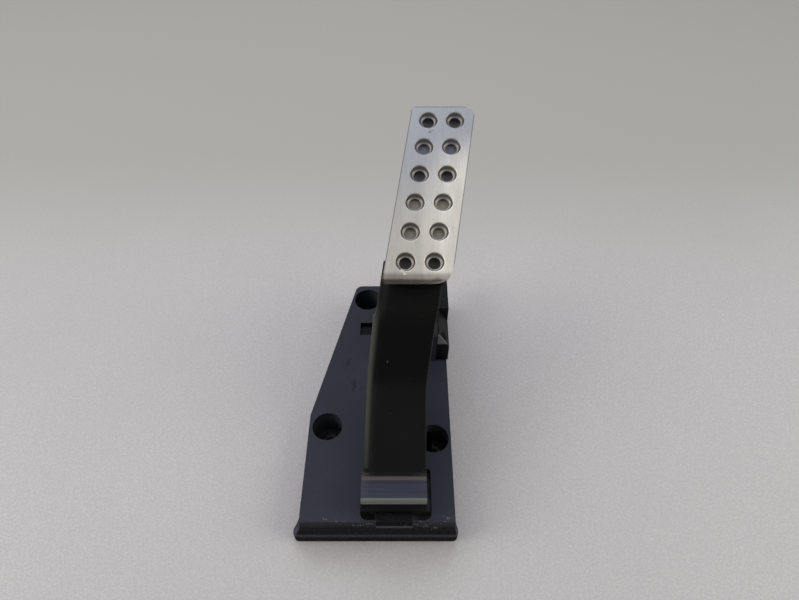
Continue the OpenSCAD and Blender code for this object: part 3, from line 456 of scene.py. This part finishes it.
crumbs = Recipe(
    "crumbs", Density=1500000.0, Smallest=0.00011, Largest=0.00044, Seed=7, Material=dirt.material
)
spots = crumbs.add("GeometryNodeDistributePointsOnFaces", None, {
    "Mesh": crumbs.given("Geometry"), "Density": crumbs.given("Density"),
    "Seed": crumbs.given("Seed")})
patchy = crumbs.add("ShaderNodeTexNoise", None, {"Scale": 260.0, "Detail": 2.0})
bare = crumbs.add(
    "FunctionNodeCompare", {"operation": "LESS_THAN", "data_type": "FLOAT"}, {0: patchy, 1: 0.56}
)
kept = crumbs.add(
    "GeometryNodeDeleteGeometry", {"domain": "POINT"}, {"Geometry": spots, "Selection": bare}
)
size = crumbs.add("FunctionNodeRandomValue", {"data_type": "FLOAT"}, {
    2: crumbs.given("Smallest"), 3: crumbs.given("Largest"), "Seed": crumbs.given("Seed")}, out=1)
turn = crumbs.add(
    "FunctionNodeRandomValue", {"data_type": "FLOAT_VECTOR"}, {0: (0.0,) * 3, 1: (6.28,) * 3}
)
pebble = crumbs.add("GeometryNodeMeshIcoSphere", None, {"Radius": 1.0, "Subdivisions": 1})
crumb_mesh = crumbs.made(strip_mesh, crumbs.copies(
    kept, pebble, Scale=crumbs.vector(size, size * 0.8, size * 0.55), Rotation=turn))
crumb_piece = new_piece("fold_grit", crumb_mesh)
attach(crumb_piece, "base")


# Side cover
# Separate moulding in the same nylon, screwed to the housing's right side over a flat
# gasket; it carries the board and the shroud of the connector.

cover_nylon = Finish("cover_nylon")
cover_cloud = cover_nylon.noise(60.0, 3.0, 0.6)
_, cover_y, cover_z = cover_nylon.parts(cover_nylon.place)
# Painted highlight: its front edge is painted pale
front_edge_highlight = cover_nylon.between(cover_y, 0.0596, 0.0588)
front_edge_highlight = front_edge_highlight * cover_nylon.between(cover_z, 0.0515, 0.0525)
# Painted shade: the cover is painted much darker than the plate's nylon, for the shade it lies in
# beside the arm
cover_shade_colour = cover_nylon.mixed(cover_cloud, rgba(9, 9, 10), rgba(16, 16, 18))
cover_nylon.surface(
    Base_Color=cover_nylon.mixed(front_edge_highlight, cover_shade_colour, rgba(120, 120, 122)),
    Roughness=0.5 + 0.12 * cover_cloud,
    Specular_IOR_Level=0.16,
    Normal=cover_nylon.bumped(cover_nylon.noise(2600.0, 3.0, 0.6), 0.00006, 0.4),
)
cover = dressed("side_cover_shell", "base", "side_cover", edge=0.0005, slot="base_plastic")
finish_with(cover, cover_nylon.material)


# Steel hardware
# Turned and rolled steel, zinc plated and a little dulled: sleeves in the wells, both
# pins, rings, studs, nuts and the wear strip on the arm; the cover's screws are blacked.

zinc = Finish("zinc_plate")
cloud = zinc.noise(160.0, 4.0, 0.6)
lines = zinc.noise(900.0, 2.0, 0.5, zinc.stretched((0.05, 1.0, 1.0)))
zinc.surface(
    Base_Color=zinc.mixed(zinc.between(cloud, 0.35, 0.7), rgba(74, 71, 66), rgba(150, 147, 141)),
    Metallic=1.0,
    Roughness=0.42 + 0.2 * cloud,
    Normal=zinc.bumped(lines, 0.00002, 0.4),
)
for name in ("mount_sleeves", "hinge_pin", "pin_rings", "rotor_pin"):
    piece = dressed(name + "_steel", "base", name, edge=0.0002, slot="steel")
    finish_with(piece, zinc.material)
for name in ("cam_strip", "pad_studs", "pad_nuts"):
    piece = dressed(name + "_steel", "pedal", name, edge=0.0002, slot="steel")
    finish_with(piece, zinc.material)


blacked = Finish("black_oxide")
blacked_cloud = blacked.noise(300.0, 3.0)
blacked.surface(
    Base_Color=blacked.mixed(blacked_cloud, rgba(20, 20, 22), rgba(40, 40, 43)),
    Metallic=0.8, Roughness=0.5 + 0.15 * blacked_cloud,
)
piece = dressed("cover_screws_steel", "base", "cover_screws", edge=0.0002, slot="steel")
finish_with(piece, blacked.material)


# Return springs
# Torsion springs of drawn wire, wound cold round the lever's hub, with the dull
# grey sheen of the die.

wire_finish = Finish("drawn_wire")
wire_cloud = wire_finish.noise(300.0, 3.0)
wire_finish.surface(
    Base_Color=wire_finish.mixed(wire_cloud, rgba(96, 98, 103), rgba(140, 141, 144)),
    Metallic=1.0, Roughness=0.3 + 0.15 * wire_cloud,
)
for name in ("return_spring_left", "return_spring_right"):
    piece = dressed(name + "_wire", "base", name, edge=0.0, corner=60.0, slot="spring_steel")
    finish_with(piece, wire_finish.material)


# Rubber stops and gasket
# Moulded rubber, matt and slightly bloomed: the stop under the arm, the stop under the
# lever, and the gasket of the side cover.

rubber = Finish("stop_rubber")
bloom = rubber.noise(220.0, 4.0, 0.65)
rubber.surface(
    Base_Color=rubber.mixed(bloom, rgba(24, 24, 24), rgba(44, 43, 42)),
    Roughness=0.72 + 0.15 * bloom,
    Normal=rubber.bumped(rubber.noise(1800.0), 0.00004, 0.5),
)
for name in ("floor_stop", "rest_stop", "cover_seal"):
    piece = dressed(name + "_rubber", "base", name, edge=0.0003, slot="rubber")
    finish_with(piece, rubber.material)


# Sensor board, chips and contacts
# A coated board in the side cover with two moulded sensors, and the gold plated
# contacts of the connector.

board = Finish("coated_board")
tracks = board.between(board.noise(900.0, 0.0, 0.5, board.stretched((1.0, 1.0, 0.12))), 0.5, 0.53)
board.surface(
    Base_Color=board.mixed(tracks, rgba(18, 72, 40), rgba(38, 104, 58)),
    Roughness=0.3 + 0.1 * tracks, Normal=board.bumped(tracks, 0.00003, 0.6),
)
piece = dressed("circuit_board", "base", "sensor_board", edge=0.0, slot="board")
finish_with(piece, board.material)

package = Finish("chip_package")
package_grain = package.noise(3000.0)
package.surface(
    Base_Color=package.mixed(package_grain, rgba(26, 26, 27), rgba(38, 38, 40)),
    Roughness=0.5 + 0.1 * package_grain,
)
piece = dressed("sensor_packages", "base", "sensor_chips", edge=0.0001, slot="chip")
finish_with(piece, package.material)

plated = Finish("plated_contact")
plated_cloud = plated.noise(400.0)
plated.surface(
    Base_Color=plated.mixed(plated_cloud, rgba(196, 164, 92), rgba(216, 190, 124)),
    Metallic=1.0, Roughness=0.25 + 0.12 * plated_cloud,
)
piece = dressed("plug_contacts", "base", "connector_pins", edge=0.00015, slot="contact")
finish_with(piece, plated.material)


# Pedal arm
# Nylon channel with a dog-leg: smoother than the base and darker, with a painted
# highlight along its left edge.

# The plane of the pad's face: its lower edge's middle, its slope, and how far it leans to
# the right for each metre up
pad_corner = (0.0646, 0.0453, 0.1445)
pad_slope = math.radians(20.0)
pad_slant = 0.153


def up_face(y):
    """Distance up the pad's face, from a y signal."""
    return (y - pad_corner[1]) * (1.0 / math.cos(pad_slope))


def under_face(y, z):
    """Depth below the pad's face, from a y and a z signal."""
    return (y - pad_corner[1]) * math.sin(pad_slope) - (z - pad_corner[2]) * math.cos(pad_slope)


smooth_nylon = Finish("arm_nylon")
arm_cloud = smooth_nylon.noise(30.0, 4.0, 0.6)
arm_grain = smooth_nylon.noise(1900.0, 2.0)
arm_dust = smooth_nylon.between(smooth_nylon.noise(760.0, 2.0, 0.7), 0.68, 0.78)
_, arm_y, arm_z = smooth_nylon.parts(smooth_nylon.place)
arm_colour = smooth_nylon.mixed(arm_cloud, rgba(8, 8, 8), rgba(15, 15, 14))
# Painted highlight: faces that turn to the left, low on the arm, are painted paler, those that turn
# to the right a little
sideways = smooth_nylon.add("ShaderNodeAttribute", {"attribute_name": "sideways"}, out=2)
sheen_colour = rgba(72, 73, 68)
low_part = smooth_nylon.between(arm_z, 0.122, 0.108)
left_sheen = smooth_nylon.between(sideways, -0.4, -0.86) * low_part
right_sheen = smooth_nylon.between(sideways, 0.35, 0.8)
arm_colour = smooth_nylon.mixed(left_sheen * 0.85 + right_sheen * 0.3, arm_colour, sheen_colour)
# Painted light: the head's top under the pad is painted pale, warm low down and bluish higher up, to
# lift its shade
head_top = smooth_nylon.within(under_face(arm_y, arm_z), 0.0073, 0.0082, 0.0003)
head_top = head_top * smooth_nylon.between(arm_z, 0.13, 0.134)
head_light_colour = smooth_nylon.mixed(
    smooth_nylon.between(arm_z, 0.147, 0.156), rgba(100, 95, 89), rgba(130, 127, 136)
)
arm_colour = smooth_nylon.mixed(head_top, arm_colour, head_light_colour)
# Painted reflections on the nose: a warm crest highlight, a bluish flat streaked with reflections, a
# pale edge highlight, and painted shade black below it
reflection_field = smooth_nylon.noise(420.0, 3.0, 0.6, smooth_nylon.stretched((0.015, 1.0, 1.0)))
reflection_streaks = smooth_nylon.between(reflection_field, 0.3, 0.7)
nose = smooth_nylon.between(arm_y, -0.0478, -0.0492)
crest_highlight = nose * smooth_nylon.between(arm_y, -0.0518, -0.0505)
nose_edge_highlight = smooth_nylon.between(arm_y, -0.0625, -0.0632)
arm_colour = smooth_nylon.mixed(nose * (0.45 + 0.55 * reflection_streaks), arm_colour, rgba(62, 63, 79))
arm_colour = smooth_nylon.mixed(crest_highlight * (0.4 + 0.6 * reflection_streaks), arm_colour, rgba(80, 74, 70))
arm_colour = smooth_nylon.mixed(
    nose_edge_highlight * (0.65 + 0.35 * reflection_streaks), arm_colour, rgba(118, 120, 112)
)
under_nose_shade = nose * smooth_nylon.between(arm_z, 0.0508, 0.0496)
arm_colour = smooth_nylon.mixed(under_nose_shade, arm_colour, rgba(5, 5, 5))
# One chip on the steep part
chip = smooth_nylon.near(smooth_nylon.place, (0.0448, 0.0184, 0.0886), 0.0004, 0.0009)
arm_colour = smooth_nylon.mixed(chip * 0.5, arm_colour, rgba(96, 96, 92))
smooth_nylon.surface(
    Base_Color=smooth_nylon.mixed(arm_dust * 0.16, arm_colour, pale_dust),
    Roughness=0.52 + 0.14 * arm_cloud,
    Specular_IOR_Level=0.1,
    Normal=smooth_nylon.bumped(arm_grain, 0.00003, 0.4),
)
arm = dressed("dog_leg_arm", "pedal", "pedal_arm", edge=0.0008, slot="arm_plastic")
finish_with(arm, smooth_nylon.material)
facing = arm.data.attributes.new("sideways", "FLOAT", "POINT")
facing.data.foreach_set("value", [v.normal.x for v in arm.data.vertices])


# Bushes and shoe
# Natural acetal: the bushes of both hinges and the shoe on the lever's head.

acetal = Finish("acetal")
acetal_cloud = acetal.noise(120.0, 3.0)
acetal.surface(
    Base_Color=acetal.mixed(acetal_cloud, rgba(205, 200, 184), rgba(222, 218, 204)),
    Roughness=0.38 + 0.1 * acetal_cloud,
)
for name in ("hinge_bush_left", "hinge_bush_right"):
    piece = dressed(name + "_acetal", "pedal", name, edge=0.0003, slot="slide_plastic")
    finish_with(piece, acetal.material)
for name in ("lever_shoe", "rotor_bush_left", "rotor_bush_right"):
    piece = dressed(name + "_acetal", "rotor", name, edge=0.0003, slot="slide_plastic")
    finish_with(piece, acetal.material)


# Foot pad
# Pressed stainless sheet, satin ground, with two columns of dished holes: one turned
# dish repeated over the grid, welded into the flat sheet. The lower end is bent down
# over the arm, with its right corner rounded off.

satin = Finish("satin_stainless")
ground = satin.noise(420.0, 4.0, 0.7, satin.stretched((1.0, 0.25, 0.25)))
worn = satin.noise(24.0, 4.0, 0.6)
pits = satin.between(satin.noise(520.0, 2.0, 0.6), 0.69, 0.74)
pad_x, pad_y, pad_z = satin.parts(satin.place)
# Painted reflection: brighter and warmer towards the lower right, with a painted highlight along the
# right side, bluish and duller at the top
upwards = up_face(pad_y)
across = pad_x - pad_corner[0] - pad_slant * upwards
lower = satin.between(upwards, 0.106, 0.02)
right_highlight = satin.between(across, -0.012, 0.019) * satin.between(upwards, 0.115, 0.07)
sheen = satin.mixed(lower, rgba(160, 161, 168), rgba(206, 199, 189))
sheen = satin.mixed(right_highlight * 0.9, sheen, rgba(252, 246, 232))
sheen = satin.mixed(worn * 0.35, sheen, rgba(176, 172, 168))
brushing = satin.stretched((1.0, 0.12, 0.12), (0.0, 0.0, -0.15))
brushed = satin.between(satin.noise(90.0, 5.0, 0.75, brushing), 0.35, 0.7)
sheen = satin.mixed(brushed * 0.3, sheen, rgba(142, 138, 134))
# Painted shade: the walls of the dishes are painted darker, and so is the sheet's outline
dish_wall_shade = satin.between(under_face(pad_y, pad_z), 0.0001, 0.0006)
dish_wall_shade = dish_wall_shade * satin.between(upwards, 0.0043, 0.0046)
aside = satin.add("ShaderNodeMath", {"operation": "ABSOLUTE"}, {0: across})
rim = satin.add("ShaderNodeMath", {"operation": "MAXIMUM"}, {
    0: satin.between(aside, 0.0216, 0.0222), 1: satin.between(upwards, 0.1288, 0.1294)})
sheen = satin.mixed(dish_wall_shade * 0.8, sheen, rgba(126, 123, 119))
sheen = satin.mixed(rim * 0.75, sheen, rgba(100, 98, 98))
# A nick between the first two rows and a smear on the lip's right corner
nick = satin.near(satin.place, (0.0743, 0.1474, 0.1817), 0.0005, 0.0013)
smear = satin.near(satin.place, (0.0775, 0.0465, 0.1405), 0.0012, 0.0045)
smear = smear * satin.between(worn, 0.3, 0.55)
sheen = satin.mixed(nick * 0.6 + smear * 0.5, sheen, rgba(84, 79, 72))
satin.surface(
    Base_Color=satin.mixed(pits * 0.5, sheen, rgba(96, 92, 88)),
    Metallic=1.0,
    Roughness=0.44 + 0.14 * ground,
    Normal=satin.bumped(ground, 0.00003, 0.5),
)
pad_width = 0.045
pad_length = 0.1297
pad_sheet = 0.0018
pad_bend = 0.004
pad_lip = 0.0114
dish_radius = 0.0069
dish_rim = dish_radius + 0.0004
dish_count = 6
first_row = 0.0112
row_pitch = 0.02144
column_pitch = 0.0188
round_sides = 64
# The lower right corner's rounding starts on the flat and runs round the bend
corner_start = 0.013
corner_cut = 0.0125
corner_length = corner_start - pad_bend + pad_bend * math.pi / 2 + pad_lip - pad_bend
# The pad's own frame: u across, v up the sheet, n out of its face
pad_frame = Matrix.Translation(pad_corner) @ Matrix.Rotation(pad_slope, 4, "X")
top_left_r = 0.0035
top_right_r = 0.0075
lean_angle = 8.7


def arc(centre, radius, start, end, count):
    """Points in u and v on an arc, both ends included."""
    angles = [math.radians(start + (end - start) * i / count) for i in range(count + 1)]
    return [(centre[0] + radius * math.cos(a), centre[1] + radius * math.sin(a)) for a in angles]


def right_edge(along):
    """Half width on the right, a distance along the sheet past the start of its rounded corner."""
    share = min(1.0, max(0.0, along) / corner_length)
    return pad_width / 2 - corner_cut * (1.0 - math.sqrt(1.0 - share * share))


def sheet_point(across, up):
    """A point of the flat sheet, drawn in where it lies outside one of its rounded corners."""
    if across > 0:
        across *= right_edge(corner_start - up) / (pad_width / 2)
    point = Vector((across + pad_slant * up, up))
    top = pad_slant * pad_length
    top_left = Vector((top - pad_width / 2 + 0.003, pad_length - top_left_r))
    top_right = Vector((top + pad_width / 2 - 0.00874, pad_length - top_right_r))
    for centre, radius, first, last in (
        (top_right, top_right_r, -lean_angle, 90.0),
        (top_left, top_left_r, 90.0, 180.0 - lean_angle),
    ):
        away = point - centre
        if first < math.degrees(math.atan2(away.y, away.x)) < last and away.length > radius:
            point = centre + away * (radius / away.length)
    return (point.x, point.y, 0.0)


def cell_border(side, row):
    """The border of one dish's share of the sheet, as many points as the dish has sides."""
    low_u, high_u = sorted((0.0, side * pad_width))
    middle = first_row + row * row_pitch
    low_v = pad_bend if row == 0 else middle - row_pitch / 2
    high_v = pad_length if row == dish_count - 1 else middle + row_pitch / 2
    corners = [(high_u, low_v), (high_u, high_v), (low_u, high_v), (low_u, low_v)]
    quarter = round_sides // 4
    return [
        sheet_point(*(start[axis] + (end[axis] - start[axis]) * i / quarter for axis in (0, 1)))
        for start, end in zip(corners, corners[1:] + corners[:1]) for i in range(quarter)
    ]


# One dish, by radius and height: soft shoulder, sloping wall, narrow floor, edge of the hole
profile = [(dish_rim, 0.0), (dish_radius - 0.0001, -0.00004), (dish_radius - 0.0004, -0.0002),
           (dish_radius - 0.0007, -0.0006), (0.0055, -0.0023), (0.0052, -0.0027), (0.0048, -0.0029),
           (0.0043, -0.003), (0.0041, -0.0031), (0.004, -0.0033)]
turned = bmesh.new()
rings = [
    [turned.verts.new((*p, n)) for p in arc((0, 0), r, 0, 360, round_sides)[:-1]]
    for r, n in profile
]
for outer, inner in zip(rings, rings[1:]):
    for i in range(round_sides):
        j = (i + 1) % round_sides
        turned.faces.new((outer[i], outer[j], inner[j], inner[i]))
dish_mesh = bpy.data.meshes.new("one_dish")
turned.to_mesh(dish_mesh)
turned.free()

dishes = Recipe(
    "dishes", Rows=dish_count, Row_Pitch=row_pitch, Column_Pitch=column_pitch,
    First_Row=first_row, Slant=pad_slant, Material=satin.material,
)
columns = []
for side in (-0.5, 0.5):
    columns.append(dishes.add("GeometryNodeMeshLine", None, {
        "Count": dishes.given("Rows"),
        "Start Location": dishes.vector(
            dishes.given("Column_Pitch") * side + dishes.given("First_Row") * dishes.given("Slant"),
            dishes.given("First_Row"), 0.0),
        "Offset": dishes.vector(
            dishes.given("Row_Pitch") * dishes.given("Slant"), dishes.given("Row_Pitch"), 0.0),
    }))
grid = dishes.add("GeometryNodeJoinGeometry", None, {"Geometry": columns})
dish_rows = dishes.made(dish_mesh, dishes.copies(grid, dishes.given("Geometry")))

sheet = bmesh.new()
sheet.from_mesh(dish_rows)
for row in range(dish_count):
    for side in (-0.5, 0.5):
        v = first_row + row * row_pitch
        rim = arc((side * column_pitch + pad_slant * v, v), dish_rim, -45, 315, round_sides)[:-1]
        inner = [sheet.verts.new((*p, 0.0)) for p in rim]
        outer = [sheet.verts.new(p) for p in cell_border(side, row)]
        for i in range(round_sides):
            j = (i + 1) % round_sides
            sheet.faces.new((outer[i], outer[j], inner[j], inner[i]))

# Bend and lip, row by row down the sheet
lip_sides = round_sides // 4
bend_steps = 8
lip_steps = 12
bend_length = pad_bend * math.pi / 2
straight = pad_lip - pad_bend
steps = [(pad_bend * (1 - math.sin(a)), pad_bend * (math.cos(a) - 1), pad_bend * a)
         for a in (math.radians(90 / bend_steps * i) for i in range(bend_steps + 1))]
steps += [(0.0, -pad_bend - straight * i / lip_steps, bend_length + straight * i / lip_steps)
          for i in range(1, lip_steps + 1)]
rows = []
for v, n, along in steps:
    left = -pad_width / 2 + 0.0004 * n / pad_lip
    right = right_edge(corner_start - pad_bend + along)
    places = [left * (1 - i / lip_sides) for i in range(lip_sides)]
    places += [right * i / lip_sides for i in range(lip_sides + 1)]
    rows.append([sheet.verts.new((u + pad_slant * v, v, n)) for u in places])
for upper, lower in zip(rows, rows[1:]):
    for i in range(2 * lip_sides):
        sheet.faces.new((upper[i], lower[i], lower[i + 1], upper[i + 1]))
bmesh.ops.remove_doubles(sheet, verts=sheet.verts, dist=3e-6)
sheet.transform(pad_frame)
pad_mesh = bpy.data.meshes.new("foot_pad_sheet")
sheet.to_mesh(pad_mesh)
sheet.free()
pad_mesh.shade_smooth()
pad_mesh.set_sharp_from_angle(angle=math.radians(50.0))
pad = new_piece("foot_pad_sheet", pad_mesh)
finish_with(pad, satin.material)
thickness = pad.modifiers.new("sheet thickness", "SOLIDIFY")
thickness.thickness = pad_sheet
thickness.offset = -1.0
rounding = pad.modifiers.new("rounded edges", "BEVEL")
rounding.width = 0.0004
rounding.segments = 2
rounding.limit_method = "ANGLE"
rounding.angle_limit = math.radians(60.0)
settled = pad.modifiers.new("flat faces keep their normals", "WEIGHTED_NORMAL")
settled.keep_sharp = True
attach(pad, "pedal")
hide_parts("foot_pad")


# Pad carrier
# Moulded carrier of black nylon that backs the pad and sits on the arm's head, with a
# thin strip glued behind its top row.

backing = Finish("backing_nylon")
backing_cloud = backing.noise(55.0, 4.0, 0.6)
back_x, back_y, back_z = backing.parts(backing.place)
back_up = up_face(back_y)
back_across = back_x - pad_corner[0] - pad_slant * back_up
# Painted light: its pockets under the sheet's holes are painted pale, warmer in the lower rows and
# bluish in the upper
in_pockets = backing.within(under_face(back_y, back_z), 0.0024, 0.0072, 0.0004)
in_pockets = in_pockets * backing.within(back_up, 0.0056, 0.1262, 0.0004)
in_pockets = in_pockets * backing.within(back_across, -0.0192, 0.0192, 0.0004)
carrier_light_colour = backing.mixed(
    backing.between(back_up, 0.07, 0.09), rgba(150, 144, 132), rgba(122, 121, 134)
)
backing_colour = backing.mixed(backing_cloud, rgba(10, 10, 10), rgba(18, 18, 17))
backing.surface(
    Base_Color=backing.mixed(in_pockets * (0.7 + 0.4 * backing_cloud), backing_colour, carrier_light_colour),
    Roughness=0.5 + 0.15 * backing_cloud,
    Specular_IOR_Level=0.2,
    Normal=backing.bumped(backing.noise(1500.0), 0.00004, 0.4),
)
carrier = dressed("pad_carrier_moulding", "pedal", "pad_carrier", edge=0.0008, slot="arm_plastic")
finish_with(carrier, backing.material)

# The strip closes the top row's pockets, where the arm's head no longer does
strip_depth = 0.0079
strip_thickness = 0.0016
strip_edge = 0.0002
strip_corners = [(-0.0185, 0.12125), (0.0185, 0.12125), (0.0185, 0.1268),
                 (0.0165, 0.1282), (-0.0165, 0.1282), (-0.0185, 0.1268)]
strip = bmesh.new()
strip_face = strip.faces.new(
    [strip.verts.new((u + pad_slant * v, v, -strip_depth)) for u, v in strip_corners]
)
lifted = bmesh.ops.extrude_face_region(strip, geom=[strip_face])["geom"]
rear_points = [e for e in lifted if isinstance(e, bmesh.types.BMVert)]
bmesh.ops.translate(strip, verts=rear_points, vec=(0, 0, -strip_thickness))
bmesh.ops.recalc_face_normals(strip, faces=strip.faces)
bmesh.ops.bevel(strip, geom=strip.edges[:], offset=strip_edge, segments=2, affect="EDGES")
strip.transform(pad_frame)
closing_mesh = bpy.data.meshes.new("closing_strip")
strip.to_mesh(closing_mesh)
strip.free()
closing = new_piece("closing_strip", closing_mesh)
finish_with(closing, smooth_nylon.material)
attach(closing, "pedal")


# Lever
# Satin grey nylon lever that turns in the housing on its steel pin; the bonded ferrite
# ring in its hub faces the board.

lever_nylon = Finish("lever_nylon")
lever_cloud = lever_nylon.noise(90.0, 3.0)
lever_nylon.surface(
    Base_Color=lever_nylon.mixed(lever_cloud, rgba(52, 52, 55), rgba(70, 70, 73)),
    Roughness=0.42 + 0.12 * lever_cloud,
    Normal=lever_nylon.bumped(lever_nylon.noise(1500.0), 0.00003, 0.4),
)
piece = dressed("rotor_lever_moulding", "rotor", "rotor_lever", edge=0.0005, slot="lever_plastic")
finish_with(piece, lever_nylon.material)

ferrite = Finish("bonded_ferrite")
ferrite_grain = ferrite.noise(2200.0, 3.0)
ferrite.surface(
    Base_Color=ferrite.mixed(ferrite_grain, rgba(44, 44, 47), rgba(66, 66, 70)),
    Roughness=0.5 + 0.15 * ferrite_grain, Metallic=0.3,
)
piece = dressed("sensor_magnet", "rotor", "magnet_ring", edge=0.0003, slot="magnet")
finish_with(piece, ferrite.material)
